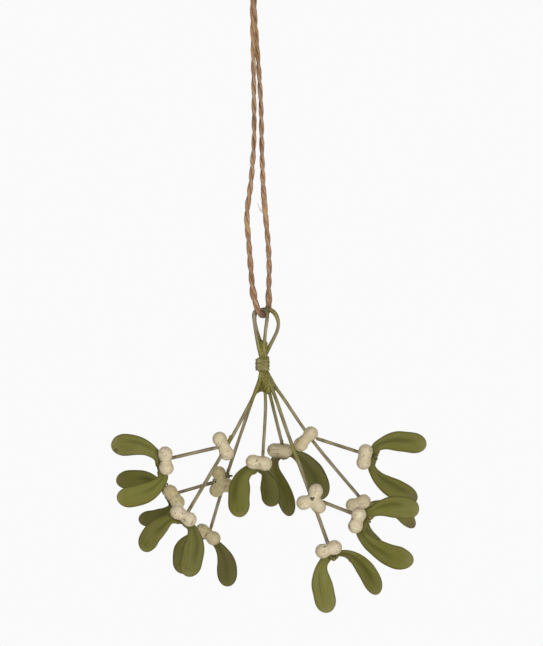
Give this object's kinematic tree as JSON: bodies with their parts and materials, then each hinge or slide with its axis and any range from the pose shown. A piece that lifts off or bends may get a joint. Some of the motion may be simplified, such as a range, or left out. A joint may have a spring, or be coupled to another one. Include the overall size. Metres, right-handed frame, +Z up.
{
  "type": "artificial mistletoe bunch",
  "caption": "Hanging bunch of artificial mistletoe: wired stems tied under two wire loops, with moulded olive leaves, cream bead berries and a jute hanging twine.",
  "frame": {"origin": "inside top of the twine eye, where a hook or nail holds the bunch", "axes": "+Z up along the hanging twine, +X to the right and +Y to the back when the bunch is seen from its front"},
  "size_m": [0.1566, 0.0736, 0.33],
  "materials": {
    "leaf": "matte moulded olive green",
    "berry": "satin cream with fine dark hairlines",
    "stem_wire": "matte olive wire covering",
    "loop_wire": "matte olive wire covering",
    "glue": "dull green dried glue",
    "twine": "two-ply natural jute"
  },
  "bodies": {
    "root": {"front_wire": "loop_wire", "back_wire": "loop_wire", "middle_stem": "stem_wire", "right_stem": "stem_wire", "side_stem_1": "stem_wire", "side_stem_2": "stem_wire", "side_stem_3": "stem_wire", "side_stem_4": "stem_wire", "tie_wrap": "loop_wire", "glue_web_left": "glue", "glue_web_middle": "glue", "glue_web_right": "glue", "fork_berries_1": "berry", "fork_berries_2": "berry", "fork_berries_3": "berry", "fork_berries_4": "berry", "tip_berries_1": "berry", "tip_berries_2": "berry", "tip_berries_3": "berry", "tip_berries_4": "berry", "tip_berries_5": "berry", "tip_berries_6": "berry", "tip_berries_7": "berry", "tip_berries_8": "berry", "tip_berries_9": "berry", "tip_berries_10": "berry", "leaf_pair_1": "leaf", "leaf_pair_2": "leaf", "leaf_pair_3": "leaf", "leaf_pair_4": "leaf", "leaf_pair_5": "leaf", "leaf_pair_6": "leaf", "leaf_pair_7": "leaf", "leaf_pair_8": "leaf", "leaf_pair_9": "leaf", "leaf_pair_10": "leaf", "twine": "twine", "twine_knot": "twine", "twine_eye": "twine"}
  },
  "joints": []
}
